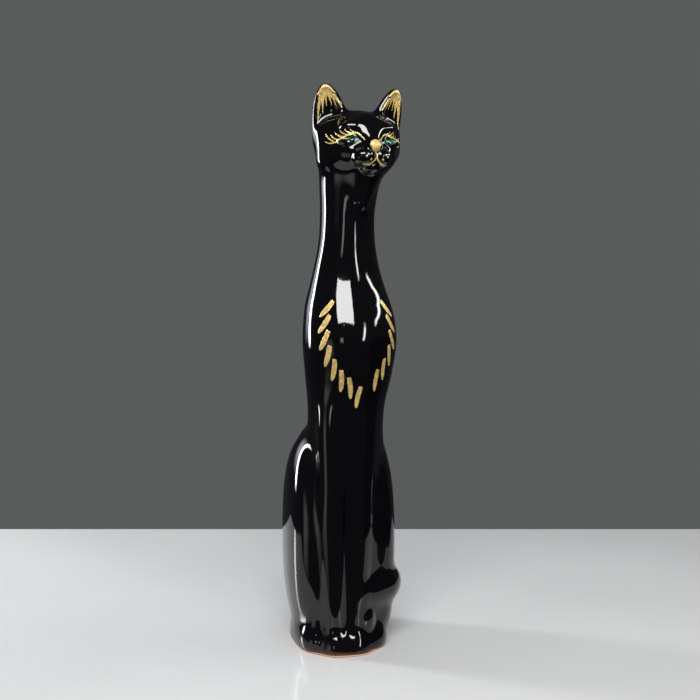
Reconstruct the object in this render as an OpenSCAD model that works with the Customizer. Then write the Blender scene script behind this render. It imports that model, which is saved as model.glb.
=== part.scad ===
// Tall seated cat figurine: a hollow slip casting under a black glaze, with gold brushwork.
// The cat faces -Y, its left side is +X, and the origin is the middle of the foot on the ground.
// Everything is drawn at a working height, work_h, and scaled to figure_h at the end.

/* [Figure] */
// Height from the foot to the ear tips
figure_h = 390; // [250:5:600]
// Thickness of the cast wall, at the working height
wall = 4.5; // [3.5:0.5:6]
// Diameter of the pour and vent hole in the floor
pour_hole_d = 12; // [8:1:20]
// How far behind the middle of the foot the pour hole is
pour_hole_y = 16; // [12:1:22]
// Height of the wiped line where the glaze stops
glaze_line = 1.5; // [1:0.5:3]

/* [Body] */
// Width of the foot
foot_w = 68; // [60:1:76]
// Depth of the foot, front to back
foot_d = 95; // [86:1:102]
// Width of the waist above the haunches
waist_w = 54; // [46:1:60]
// Width of the chest
chest_w = 65.5; // [56:0.5:74]
// Width of the neck
neck_w = 38; // [30:1:44]
// How far the haunches stand out sideways from the middle
haunch_reach = 40; // [36:1:44]
// Distance between the centres of the two front legs
leg_gap = 12.6; // [11:0.2:15]
// Radius of the tail at its thickest
tail_r = 12.5; // [9:0.5:14]

/* [Head] */
// Turn of the head towards the cat's left, in degrees
head_turn = 8; // [0:0.5:16]
// Half width of the skull
skull_r = 27.5; // [25:0.5:30]
// Height of the ear tips above the middle of the head
ear_rise = 38.5; // [34:0.5:46]
// Half distance between the ear tips
ear_spread = 26; // [23:0.5:29]

/* [Brushwork] */
// How far the paint stands above the glaze
paint_h = 0.25; // [0.15:0.05:0.5]
// Strokes down each side of the chest
side_strokes = 6; // [3:1:8]
// Length of one chest stroke
stroke_l = 15; // [10:0.5:18]
// Lashes on each eyelid
lashes = 6; // [3:1:8]

/* [Fineness] */
// Points round the outside of the casting
round_n = 60; // [40:4:64]

/* [Hidden] */

// Middle of the head
head_at = [9.6, -28, 350];
work_h = head_at.z + ear_rise;
top_scale = figure_h / work_h;

// The trunk: height, centre x, centre y, half width, half depth
trunk = [
    [0, 0, -1, foot_w / 2, foot_d / 2],
    [5, 0, -0.8, foot_w / 2 - 0.4, foot_d / 2 - 0.9],
    [13, 0, 0.5, foot_w / 2 - 2.4, foot_d / 2 - 4.5],
    [60, 1, 0, waist_w / 2 + 2, 38],
    [100, 2, -3.5, waist_w / 2 + 1, 35],
    [135, 3.5, -11, waist_w / 2, 30],
    [170, 3.6, -17, waist_w / 2 + 0.3, 26],
    [193, 4.3, -21.5, chest_w / 2 - 2.2, 29],
    [217, 4.6, -23.7, chest_w / 2, 32.3],
    [230, 4.5, -22.8, chest_w / 2 - 0.9, 30.1],
    [240, 4.2, -20.8, chest_w / 2 - 2.6, 28.2],
    [252, 3.7, -19.6, neck_w / 2 + 7.7, 24.6],
    [265, 3.4, -19.4, neck_w / 2 + 4.2, 21.6],
    [285, 3.4, -20.2, neck_w / 2 + 0.6, 20.3],
    [304, 3.6, -21.2, neck_w / 2, 20.3],
    [325, 5, -22, neck_w / 2 + 2, 21.5],
    [345, 7, -23.5, neck_w / 2 + 4, 23]
];

// ---- smooth solid geometry ----
function smooth_min(a, b, k) = let (h = max(k - abs(a - b), 0) / k) min(a, b) - h * h * h * k / 6;
function smooth_max(a, b, k) = -smooth_min(-a, -b, k);

// Signed distance, near enough, to an ellipsoid
function ball(p, c, r) =
    let (q = [(p.x - c.x) / r.x, (p.y - c.y) / r.y, (p.z - c.z) / r.z],
         g = norm([q.x / r.x, q.y / r.y, q.z / r.z]),
         n = norm(q))
    g == 0 ? -min(r) : n * (n - 1) / g;

// A fuller kind of ellipsoid: the higher its power, the flatter its sides
function cushion(p, c, r, power) =
    let (q = [for (i = [0:2]) abs(p[i] - c[i]) / r[i] + 1e-6],
         n = pow(pow(q.x, power) + pow(q.y, power) + pow(q.z, power), 1 / power))
    (n - 1) / norm([for (i = [0:2]) pow(q[i] / n, power - 1) / r[i]]);
// The same to an upright elliptical column: s is [centre x, centre y, half width, half depth]
function column(p, s) =
    let (q = [(p.x - s[0]) / s[2], (p.y - s[1]) / s[3]],
         g = norm([q.x / s[2], q.y / s[3]]),
         n = norm(q))
    g == 0 ? -min(s[2], s[3]) : n * (n - 1) / g;

// The same to a round bar that tapers from a to b, each [x, y, z, radius]
function bar(p, a, b) =
    let (a3 = [a.x, a.y, a.z], ab = [b.x, b.y, b.z] - a3,
         t = min(1, max(0, (p - a3) * ab / (ab * ab))))
    norm(p - a3 - t * ab) - (a[3] + (b[3] - a[3]) * t);

// Smooth curve through the rows of a table whose first column is the place along it
function slope(t, k, i) =
    i == 0 ? (t[1][k] - t[0][k]) / (t[1][0] - t[0][0])
    : i == len(t) - 1 ? (t[i][k] - t[i - 1][k]) / (t[i][0] - t[i - 1][0])
    : let (h0 = t[i][0] - t[i - 1][0], h1 = t[i + 1][0] - t[i][0],
           m0 = (t[i][k] - t[i - 1][k]) / h0, m1 = (t[i + 1][k] - t[i][k]) / h1)
      (m1 * h0 + m0 * h1) / (h0 + h1);
function row_at(t, x, i = 0) = i >= len(t) - 2 || x < t[i + 1][0] ? i : row_at(t, x, i + 1);
function curve(t, x_free) =
    let (x = min(max(x_free, t[0][0]), t[len(t) - 1][0]),
         i = row_at(t, x), h = t[i + 1][0] - t[i][0], s = (x - t[i][0]) / h,
         a = 2 * s * s * s - 3 * s * s + 1, b = s * s * s - 2 * s * s + s,
         c = s * s * s - s * s)
    [for (k = [1:len(t[0]) - 1])
        a * t[i][k] + b * h * slope(t, k, i) + (1 - a) * t[i + 1][k] + c * h * slope(t, k, i + 1)];

// ---- the cat ----
// Into the head's own axes: x to its left, y to its back, z up
function head_axes(p) =
    let (d = p - head_at, c = cos(head_turn), s = sin(head_turn))
    [d.x * c + d.y * s, d.y * c - d.x * s, d.z];
function head_point(h) =
    let (c = cos(head_turn), s = sin(head_turn))
    head_at + [h.x * c - h.y * s, h.y * c + h.x * s, h.z];

// Tail: angle from the back towards the cat's left, then centre radius, height, thickness
tail_run = [
    [-10, 32, 14, tail_r - 3.5],
    [40, 35, 20, tail_r - 1],
    [80, 34.5, 35, tail_r],
    [105, 34, 40, tail_r + 0.5],
    [130, 35, 41, tail_r],
    [158, 34, 40, tail_r - 3.5]
];
function tail(p) =
    let (a = min(max(atan2(p.x, p.y), tail_run[0][0]), tail_run[5][0]),
         t = curve(tail_run, a))
    norm(p - [t[0] * sin(a), t[0] * cos(a), t[1]]) - t[2];

// Haunches, front legs and the flanks between them. s is the side: -1 right, 1 left.
function join(d, parts, k, i = 0) =
    i == len(parts) ? d : join(smooth_min(d, parts[i], k), parts, k, i + 1);
function thigh(p, s) = cushion(p, [1.2 + s * (haunch_reach - 18), 2, 72], [17.2, 36, 67], 2.6);
function hip(p, s) = ball(p, [2 + s * (haunch_reach - 20.5), 3, 118], [13.5, 25, 35]);
leg_x = -0.8;
function front_leg(p, s) =
    column(p, [leg_x + s * (leg_gap / 2 + 0.02 * p.z), -36.5, 8.5, 6.5]);
function front_legs(p) =
    smooth_max(smooth_min(front_leg(p, -1), front_leg(p, 1), 3), p.z - 180, 40);
function flank(p, s) =
    smooth_max(column(p, [leg_x + s * 16.5, -26.5, 9, 9]), p.z - 110, 40);
function hind_foot(p, s) = ball(p, [s > 0 ? 20 : -21.5, -20, 7], [10.5, 19, 10.5]);
function front_paw(p, s) = ball(p, [leg_x + s * 8.5, -33.5, 3], [8.5, 14, 14]);
function both_paws(p) = cushion(p, [leg_x, -29, -1], [19, 19.3, 17], 2.6);
function hind_toe(p) = ball(p, [13.5, -34, 21], [6.5, 8, 10]);
function tail_root(p) = ball(p, [24.5, 0, 23], [15, 29, 23]);

// The head, in its own axes
function muzzle(h) =
    [bar(h, [0, -17, 9, 9], [0, -26.5, -3, 5.5]),
     join(ball(h, [0, -30.5, -5.4], [5.2, 3.6, 4]),
          [for (s = [-1, 1]) ball(h, [s * 5.8, -26, -12], [7.8, 8, 6.4])], 3),
     ball(h, [0, -23.5, -18.5], [6.5, 7, 4.5])];
function jaw_side(h, s) = bar(h, [s * 20, -1, 6, 9.6], [s * 20, -1, s > 0 ? -3 : -10, 9.6]);
function brow(h, s) = ball(h, [s * 10.3, -18.6, 8.3], [8.2, 5.8, 4.7]);
function ear_foot(h, s) = ball(h, [s * 19.5, 1, 2], [11, 7, 10]);
function ruff(h) = bar(h, [0.5, -10, -15, 15.5], [-1.6, -13, -41, 2.5]);
function eye_socket(h, s) = ball(h, [s * 14.5, -31.5, -1], [9, 6.5, 4.6]);
function eyeball(h, s) = ball(h, [s * 14, -20.5, -1], [7.8, 4.9, 3.7]);
function skull(h) =
    let (dome = ball(h, [0, 4, 1], [skull_r, skull_r + 2.5, 22.5]),
         round = smooth_min(dome, ball(h, [0, -8, -9], [23, 21, 13]), 12),
         wide = join(round, [jaw_side(h, -1), jaw_side(h, 1), ear_foot(h, -1), ear_foot(h, 1)], 7))
    smooth_min(join(wide, [brow(h, -1), brow(h, 1)], 7), ruff(h), 3);
function head(h) =
    let (m = muzzle(h),
         face = smooth_min(smooth_min(smooth_min(skull(h), m[0], 8), m[1], 3), m[2], 4),
         hollow = smooth_max(smooth_max(face, -eye_socket(h, -1), 5), -eye_socket(h, 1), 5))
    join(hollow, [eyeball(h, -1), eyeball(h, 1)], 3);

// The whole outside, below zero within the clay. s is the trunk's section at the point's height
function lower(p, d) =
    p.z > 215 ? d
    : let (h = join(join(d, [thigh(p, -1), thigh(p, 1)], 9), [hip(p, -1), hip(p, 1)], 14),
           f = join(h, [flank(p, -1), flank(p, 1)], 9),
           l = smooth_min(f, front_legs(p), 8 + 10 * min(1, max(0, (p.z - 50) / 90))))
      p.z > 75 ? l
      : let (b = join(l, [hind_foot(p, -1), hind_foot(p, 1)], 11),
             g = smooth_min(join(b, [front_paw(p, -1), front_paw(p, 1)], 6), both_paws(p), 5),
             t = smooth_min(smooth_min(g, hind_toe(p), 4), tail_root(p), 8))
        smooth_min(t, tail(p), 9);
function outside(p, s) =
    let (d = lower(p, smooth_max(column(p, s), p.z - 350, 6)))
    p.z < 290 ? d : smooth_min(d, head(head_axes(p)), 12);

// Distance from o along the unit direction d to where outside() is level. The first steps
// come in from beyond the surface, the last ones follow the slope.
function reach(o, d, s, level, t, n = 12, t0 = 0, f0 = 0) =
    let (f = outside(o + t * d, s) - level,
         steep = n < 7 && abs(t - t0) > 0.001 ? (f - f0) / (t - t0) : 1,
         step = f / max(0.25, min(3, steep)))
    n == 0 || abs(f) < 0.004 ? t : reach(o, d, s, level, max(2, t - step), n - 1, t, f);

// Rings of the casting: close together round the feet and the face, wider up the body
feet_top = 32;
face_low = 304;
trunk_top = 345;
feet_rings = 9;
body_rings = 26;
face_rings = 17;
ring_heights = concat(
    [for (i = [0:feet_rings - 1]) glaze_line + (feet_top - glaze_line) * i / feet_rings],
    [for (i = [0:body_rings - 1]) feet_top + (face_low - feet_top) * i / body_rings],
    [for (i = [0:face_rings]) face_low + (trunk_top - face_low) * i / face_rings]);
crown_at = [8, -25.5, 347];

// Angle of point j of n round a ring, from the back towards the cat's left, closer at the front
front_pull = 25;
function around(j, n) = let (a = 360 * j / n) a + front_pull * sin(a);

// One ring of the casting: level is 0 outside and -wall for the inside
function trunk_ring(z, level, n, reach_from) =
    let (s = curve(trunk, z), o = [s[0], s[1], z])
    [for (j = [0:n - 1]) let (a = around(j, n), d = [sin(a), cos(a), 0])
        o + reach(o, d, s, level, reach_from) * d];
function crown_ring(e, level, n, reach_from) =
    let (s = curve(trunk, trunk_top))
    [for (j = [0:n - 1]) let (a = around(j, n), d = [sin(a) * cos(e), cos(a) * cos(e), sin(e)])
        crown_at + reach(crown_at, d, s, level, reach_from) * d];

function flat(l) = [for (a = l) for (b = a) b];

// Triangles between ring i and ring i + 1 of n points, from point index base; turn swaps the side
function quad(a, b, c, d, turn) = turn ? [[a, c, b], [b, c, d]] : [[a, b, c], [b, d, c]];
function band(base, i, n, turn) = [for (j = [0:n - 1])
    let (a = base + i * n + j, b = base + i * n + (j + 1) % n) each quad(a, b, a + n, b + n, turn)];
function cap(base, i, n, tip, turn) = [for (j = [0:n - 1])
    let (a = base + i * n + j, b = base + i * n + (j + 1) % n) turn ? [a, tip, b] : [a, b, tip]];

// ---- ears ----
// An ear is a curved leaf with a rounded back and a hollow front. It grows out of a patch
// of the crown, ear_span points round and ear_up rings high, whose edge is its first ring.
ear_half = 3;
ear_up = 5;
ear_n = 4 * ear_half + 2 * ear_up;
ear_rings = 12;
ear_end = 28;
function ear_root(s) = [s * 18.5, 1, 9];
function ear_tip(s) = [s * ear_spread, -6, ear_rise];
function ear_frame(s) =
    let (d = ear_tip(s) - ear_root(s),
         a = d / norm(d),
         g = [s * 0.38, -0.92, 0],
         h = g - a * (a * g),
         f = h / norm(h))
    [a, f, s * cross(a, f), norm(d)];
function ear_width(t) = 13 * sqrt(1 - pow(t, 1.8)) * (1 - 0.1 * t) + 0.3;
function ear_depth(t) = 6.5 * sqrt(1 - pow(t, 1.8)) * (1 - 0.25 * t) + 0.3;
// How much of the leaf's front is left where the cup is hollowed out of it
function ear_front(t) = 0.5 - 0.9 * min(1, 5 * t) * min(1, 5 * (1 - t));
// Place k of the ear's ring, as an angle: 0 at its outer edge, 90 at its front, 180 at its inner edge
function ear_angle(k) =
    k <= 2 * ear_half ? ear_end * (k / ear_half - 1)
    : k <= ear_n / 2 ? ear_end + (k - 2 * ear_half) / ear_up * (180 - 2 * ear_end)
    : 180 + ear_angle(k - ear_n / 2);
function ear_point(s, t, k) =
    let (e = ear_frame(s), q = ear_angle(k), b = ear_depth(t) * sin(q))
    head_point(ear_root(s) + e[0] * (t * e[3]) + e[2] * (ear_width(t) * cos(q))
               + e[1] * (b > 0 ? b * ear_front(t) : b));
// Ring and point of the casting that place k of the patch's edge is at
function edge_ring(k) =
    k <= 2 * ear_half ? 0 : k <= ear_n / 2 ? k - 2 * ear_half
    : k <= ear_n / 2 + 2 * ear_half ? ear_up : ear_n - k;
function edge_step(k) =
    k <= 2 * ear_half ? k - ear_half : k <= ear_n / 2 ? ear_half
    : k <= ear_n / 2 + 2 * ear_half ? ear_n / 2 + ear_half - k : -ear_half;
function nearest(a, n, j = 0) =
    around(j + 1, n) <= a ? nearest(a, n, j + 1)
    : a - around(j, n) < around(j + 1, n) - a ? j
    : j + 1;
function ear_middle(s) = nearest((s > 0 ? 88 : 272) - head_turn, round_n);
function edge_index(s, k, i0) =
    (i0 + edge_ring(k)) * round_n + (ear_middle(s) + s * edge_step(k) + round_n) % round_n;
function under_ear(i, j, i0) = i >= i0 && i < i0 + ear_up
    && (abs(j + 0.5 - ear_middle(1)) < ear_half || abs(j + 0.5 - ear_middle(-1)) < ear_half);
// Faces of one ear, whose own points start at index base
function ear_faces(s, base, i0) =
    concat([for (k = [0:ear_n - 1]) let (l = (k + 1) % ear_n)
                each quad(edge_index(s, k, i0), edge_index(s, l, i0), base + k, base + l, s > 0)],
           [for (i = [0:ear_rings - 2]) each band(base, i, ear_n, s > 0)],
           cap(base, ear_rings - 1, ear_n, base + ear_rings * ear_n, s > 0));
function ear_points(s) =
    concat([for (i = [1:ear_rings]) for (k = [0:ear_n - 1])
                ear_point(s, 0.1 + 0.89 * pow(i / ear_rings, 0.85), k)],
           [head_point(ear_tip(s))]);

inside_rings = 24;
inside_heights = [for (i = [0:inside_rings]) glaze_line + (trunk_top - glaze_line) * i / inside_rings];
crown_out = [5, 12, 19, 27, 36, 46, 57, 69, 80];
crown_ear = 1;
crown_in = [10, 30, 55];
module casting_wall() {
    m = round_n / 2;
    outer = concat([for (z = ring_heights) trunk_ring(z, 0, round_n, 70)],
                   [for (e = crown_out) crown_ring(e, 0, round_n, 60)]);
    inner = concat([for (z = inside_heights) trunk_ring(z, -wall, m, 50)],
                   [for (e = crown_in) crown_ring(e, -wall, m, 45)]);
    s = curve(trunk, trunk_top);
    up = [0, 0, 1];
    tips = [crown_at + reach(crown_at, up, s, 0, 50) * up,
            crown_at + reach(crown_at, up, s, -wall, 40) * up];
    inner_base = len(outer) * round_n;
    tip_base = inner_base + len(inner) * m;
    ear_base = tip_base + 2;
    i0 = len(ring_heights) + crown_ear;
    rim = [for (j = [0:m - 1])
        let (a = 2 * j,
             b = 2 * j + 1,
             c = (2 * j + 2) % round_n,
             p = inner_base + j,
             q = inner_base + (j + 1) % m)
        each [[a, b, p], [b, q, p], [b, c, q]]];
    skin = [for (i = [0:len(outer) - 2]) for (j = [0:round_n - 1])
        let (a = i * round_n + j, b = i * round_n + (j + 1) % round_n)
        each under_ear(i, j, i0) ? [] : quad(a, b, a + round_n, b + round_n, true)];
    faces = concat(
        skin,
        cap(0, len(outer) - 1, round_n, tip_base, true),
        [for (i = [0:len(inner) - 2]) each band(inner_base, i, m, false)],
        cap(inner_base, len(inner) - 1, m, tip_base + 1, false),
        rim,
        ear_faces(-1, ear_base, i0),
        ear_faces(1, ear_base + ear_rings * ear_n + 1, i0));
    points = concat(flat(outer), flat(inner), tips, ear_points(-1), ear_points(1));
    polyhedron(points = points, faces = faces, convexity = 8);
}

// ---- brushwork: every deposit is a thin slab that follows the glaze ----
sink = 0.35;
// The chest, by angle from its front and by height, raised by lift along the outward ray
chest_turn = 4;
function on_chest(a, z, lift) =
    let (s = curve(trunk, z), o = [s[0], s[1], z], b = a + chest_turn, d = [sin(b), -cos(b), 0])
    o + (reach(o, d, s, 0, 50) + lift) * d;
// The face, by angle from the nose and by height above the middle of the head
function on_face(a, z, lift) =
    let (o = head_at + [0, 0, z], s = curve(trunk, o.z), b = a + head_turn, d = [sin(b), -cos(b), 0])
    o + (reach(o, d, s, 0, 45) + lift) * d;
// The hollow front of an ear, by share of its width and share of its length
function on_ear(s, u, t, lift) =
    let (e = ear_frame(s), b = ear_depth(t) * sqrt(max(0, 1 - u * u)))
    head_point(ear_root(s) + e[0] * (t * e[3]) + e[2] * (ear_width(t) * u)
               + e[1] * (b * ear_front(t) + lift));

// Closed slab between two equal grids of points
module slab(top, bottom) {
    r = len(top);
    c = len(top[0]);
    n = r * c;
    function at(i, j) = i * c + j;
    sheets = [for (i = [0:r - 2]) for (j = [0:c - 2])
        each concat(quad(at(i, j), at(i, j + 1), at(i + 1, j), at(i + 1, j + 1), true),
                    quad(n + at(i, j), n + at(i, j + 1), n + at(i + 1, j), n + at(i + 1, j + 1), false))];
    edge = concat([for (j = [0:c - 2]) at(0, j)], [for (i = [0:r - 2]) at(i, c - 1)],
                  [for (j = [c - 1:-1:1]) at(r - 1, j)], [for (i = [r - 1:-1:1]) at(i, 0)]);
    walls = [for (k = [0:len(edge) - 1]) let (p = edge[k], q = edge[(k + 1) % len(edge)])
        each quad(p, q, p + n, q + n, false)];
    polyhedron(points = concat(flat(top), flat(bottom)), faces = concat(sheets, walls), convexity = 4);
}

// A brush stroke along stations [angle, height, half width]; k is the surface's mm per degree
function side_step(st, i, k) =
    let (p = st[max(i - 1, 0)], q = st[min(i + 1, len(st) - 1)], t = [(q[0] - p[0]) * k, q[1] - p[1]])
    [-t[1] / norm(t) / k, t[0] / norm(t)];
module stroke(place, st, k, base = 0) {
    grid = function(lift, crown) [for (i = [0:len(st) - 1]) let (n = side_step(st, i, k))
        [for (c = [-1, 0, 1]) place(st[i][0] + c * st[i][2] * n[0], st[i][1] + c * st[i][2] * n[1],
                                    lift + (c == 0 ? crown : 0))]];
    slab(grid(base + paint_h * 0.6, paint_h * 0.4), grid(base > 0 ? base : -sink, 0));
}
chest_k = 0.56;
face_k = 0.47;
chest = function(a, z, lift) on_chest(a, z, lift);
face = function(a, z, lift) on_face(a, z, lift);

// The garland hangs in a U: heads of its strokes lie on half an ellipse, from top_place to 90
garland_a = 42;
garland_z = 225;
garland_drop = 36;
top_place = -30;
stroke_w = 1.9;
stroke_stations = 7;
module garland_stroke(s, place) {
    a0 = s * garland_a * cos(place);
    z0 = garland_z - garland_drop * sin(place);
    lean = s * (45 - 0.55 * (place - top_place));
    st = [for (i = [0:stroke_stations - 1]) let (t = i / (stroke_stations - 1), bow = s * 5 * sin(180 * t))
        [a0 + (stroke_l * t * sin(lean)) / chest_k + bow, z0 - stroke_l * t * cos(lean),
         stroke_w * max(0.12, pow(sin(180 * pow(0.12 + 0.86 * t, 0.75)), 0.8))]];
    stroke(chest, st, chest_k);
}
module garland_side(s) {
    for (i = [0:side_strokes]) {
        if (s < 0 || i < side_strokes) garland_stroke(s, top_place + 16.5 * i);
    }
}

gold = "#c9a24b";
module garland_right() color(gold) garland_side(-1);
module garland_left() color(gold) garland_side(1);
module garland_point() color(gold) garland_stroke(1, 90);

// Eyelid line: from the inner corner over the eye and out along the temple. The lashes start
// just clear of it
module lid_line(s) {
    st = [[11.7, -0.9, 0.3], [16, 2, 0.45], [21.4, 3.5, 0.6], [27, 3.5, 0.6], [32.9, 2.3, 0.6],
          [43.6, -0.7, 0.55], [54, -2, 0.5], [63.6, -2.2, 0.4], [71.5, -0.6, 0.2]];
    stroke(face, [for (p = st) [s * p[0], p[1], p[2]]], face_k);
    for (i = [0:lashes - 1]) {
        u = i / (lashes - 1);
        foot = [56 - 32 * u, -0.6 + 5.5 * u];
        tip = [70.6 - 39.1 * u, 4.3 + 1.7 * u];
        bend = [foot[0] + 8 - 4 * u, foot[1] + 1.4 - 0.5 * u];
        lash = [for (t = [0, 0.33, 0.66, 1])
            let (p = (1 - t) * (1 - t) * foot + 2 * t * (1 - t) * bend + t * t * tip)
            [s * p[0], p[1], 0.4 - 0.25 * t]];
        stroke(face, lash, face_k);
    }
}
module lid_line_right() color(gold) lid_line(-1);
module lid_line_left() color(gold) lid_line(1);

// An almond of colour round an eye's middle: half widths in mm
eye_a = 27;
eye_z = -1.1;
module almond(s, half_w, half_h, base, shift = 0, rise = 0) {
    n = 8;
    st = [for (i = [0:n]) let (t = -0.98 + 1.96 * i / n)
        [s * (eye_a + shift) + t * half_w / face_k, eye_z + rise, half_h * pow(1 - t * t, 0.6)]];
    stroke(face, st, face_k, base);
}
module iris_right() color("#1f9a6c") almond(-1, 4.3, 2.1, 0);
module iris_left() color("#1f9a6c") almond(1, 4.3, 2.1, 0);
module pupil_right() color("#0c0d0f") almond(-1, 1.3, 1.7, paint_h + 0.05, 0, 0.3);
module pupil_left() color("#0c0d0f") almond(1, 1.3, 1.7, paint_h + 0.05, 0, 0.3);
module glint_right() color("white") almond(-1, 0.7, 0.7, paint_h + 0.05, 5, -1);
module glint_left() color("white") almond(1, 0.7, 0.7, paint_h + 0.05, 5, -1);

module nose_gilding() {
    n = 8;
    st = [for (i = [0:n]) let (t = -0.97 + 1.94 * i / n)
        [t * 7.2, -5.9 - 0.6 * (1 - abs(t)), 3.9 * pow(1 - t * t, 0.5)]];
    color(gold) stroke(face, st, face_k);
}
// The mouth hangs a little to the left of the nose
mouth_a = 2;
module mouth_line() {
    side = [[15, -16.4, 0.2], [11, -17.5, 0.4], [6, -16.8, 0.5], [2, -14.8, 0.5]];
    st = concat([for (p = side) [mouth_a - p[0], p[1], p[2]]],
                [[mouth_a, -12.8, 0.55]],
                [for (i = [3:-1:0]) side[i] + [mouth_a, 0, 0]]);
    color(gold) {
        stroke(face, st, face_k);
        stroke(face, [[1, -10.4, 0.4], [mouth_a, -11.2, 0.45], [mouth_a, -11.9, 0.45]], face_k);
    }
}
module whisker_dots() {
    color("#f2ead2") for (s = [-1, 1], p = [[13.5, -12.4], [7.5, -14.4], [10.5, -10.8]])
        stroke(face, [for (t = [-0.9, -0.4, 0.4, 0.9])
            [mouth_a + s * p[0] + t * 0.7 / face_k, p[1], 0.7 * sqrt(1 - t * t)]], face_k);
}

// Gold on the hollow of an ear: full at the tip, running down in pointed brush marks
fingers = 5;
module ear_gilding(s) {
    cols = 2 * fingers;
    rows = 5;
    grid = function(lift) [for (i = [0:rows]) [for (j = [0:cols])
        let (u = -0.86 + 1.72 * j / cols,
             low = (j % 2 == 0 ? 0.42 : 0.6) - 0.12 * abs(u),
             t = low + (0.965 - low) * i / rows)
        on_ear(s, u, t, lift)]];
    top = grid(paint_h);
    bottom = grid(-sink);
    if (s > 0) slab(bottom, top); else slab(top, bottom);
}
module ear_gilding_right() color(gold) ear_gilding(-1);
module ear_gilding_left() color(gold) ear_gilding(1);

module glazed_casting() {
    color("#101114") casting_wall();
}

// The floor and foot rim of bare clay, with the pour and vent hole
floor_t = 5;
module clay_foot() {
    outline = trunk_ring(glaze_line, 0, round_n, 70);
    inset = trunk_ring(floor_t, -wall - 0.1, round_n / 2, 50);
    color("#b5673a") difference() {
        union() {
            linear_extrude(glaze_line) polygon([for (p = outline) [p.x, p.y]]);
            translate([0, 0, glaze_line / 2]) linear_extrude(floor_t - glaze_line / 2)
                polygon([for (p = inset) [p.x, p.y]]);
        }
        translate([0, pour_hole_y, -1]) cylinder(h = floor_t + 2, d = pour_hole_d, $fn = 48);
    }
}

scale(top_scale) glazed_casting();
scale(top_scale) clay_foot();
scale(top_scale) ear_gilding_right();
scale(top_scale) ear_gilding_left();
scale(top_scale) lid_line_right();
scale(top_scale) lid_line_left();
scale(top_scale) iris_right();
scale(top_scale) iris_left();
scale(top_scale) pupil_right();
scale(top_scale) pupil_left();
scale(top_scale) glint_right();
scale(top_scale) glint_left();
scale(top_scale) nose_gilding();
scale(top_scale) mouth_line();
scale(top_scale) whisker_dots();
scale(top_scale) garland_right();
scale(top_scale) garland_point();
scale(top_scale) garland_left();
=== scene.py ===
"""Seated cat figurine: black glazed slip casting, gold brushwork, green enamel eyes, bare clay foot.

The form is one implicit solid, written in millimetres at the CAD model's working size and
meshed finely. The paint is laid on it as thin films that follow the glaze.
"""
from math import cos, pi, radians, sin

import bmesh
import bpy
import numpy as np
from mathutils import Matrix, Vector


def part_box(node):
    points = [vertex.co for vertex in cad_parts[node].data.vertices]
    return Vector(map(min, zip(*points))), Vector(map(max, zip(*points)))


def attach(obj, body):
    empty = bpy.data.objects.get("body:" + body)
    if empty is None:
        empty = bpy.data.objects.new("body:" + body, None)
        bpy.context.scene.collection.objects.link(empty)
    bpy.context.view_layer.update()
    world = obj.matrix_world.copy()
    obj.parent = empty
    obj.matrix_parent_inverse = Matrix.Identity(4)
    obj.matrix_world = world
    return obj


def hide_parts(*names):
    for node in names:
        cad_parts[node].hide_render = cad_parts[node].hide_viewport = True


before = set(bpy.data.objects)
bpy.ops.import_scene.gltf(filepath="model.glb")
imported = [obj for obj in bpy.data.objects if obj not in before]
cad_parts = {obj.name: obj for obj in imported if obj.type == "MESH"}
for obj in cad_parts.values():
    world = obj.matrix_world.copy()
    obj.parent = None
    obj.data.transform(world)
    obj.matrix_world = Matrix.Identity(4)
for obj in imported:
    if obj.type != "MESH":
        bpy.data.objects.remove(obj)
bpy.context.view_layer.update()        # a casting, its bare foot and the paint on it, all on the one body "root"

import openvdb
from mathutils import Quaternion, Vector

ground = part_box("clay_foot")[0].z
casting_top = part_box("glazed_casting")[1].z

# ---- sizes, in millimetres at the working size ----
WORK_H = 388.6            # the form's height as written here; SCALE brings it to the CAD's
SCALE = casting_top * 1000 / WORK_H
WALL = 4.5
GLAZE_LINE = 1.5          # the glaze ends this high above the table
VENT_R = 6.0
VENT_Y = 16.0
PAINT_H = 0.13            # how far the films stand out of the glaze
PAINT_SINK = 0.34         # how far the films reach into the glaze
BRUSH_UNIT = 6            # millimetres to one unit of the brush coordinates
SIDES = (-1, 1)           # the cat's right, then its left
TINY = 1e-9

# Trunk: height, centre x, centre y, half width, half depth
TRUNK = [
    (-8, 0, -1, 34, 47.5),
    (0, 0, -1, 34, 47.5),
    (5, 0, -0.8, 33.6, 46.6),
    (13, 0, 0.5, 31.6, 43),
    (60, 1, 0, 29, 38),
    (100, 2, -3.5, 28, 35),
    (135, 3.5, -11, 27, 30),
    (170, 3.6, -17, 27.3, 26),
    (193, 4.3, -21.5, 30.6, 29),
    (217, 4.6, -23.7, 32.8, 32.3),
    (230, 4.5, -22.8, 31.9, 30.1),
    (240, 4.2, -20.8, 30.2, 28.2),
    (252, 3.7, -19.6, 26.7, 24.6),
    (265, 3.4, -19.4, 23.2, 21.6),
    (285, 3.4, -20.2, 19.6, 20.3),
    (304, 3.6, -21.2, 19, 20.3),
    (325, 5, -22, 21, 21.5),
    (345, 7, -23.5, 23, 23),
]
TRUNK_TOP = 350
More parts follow.
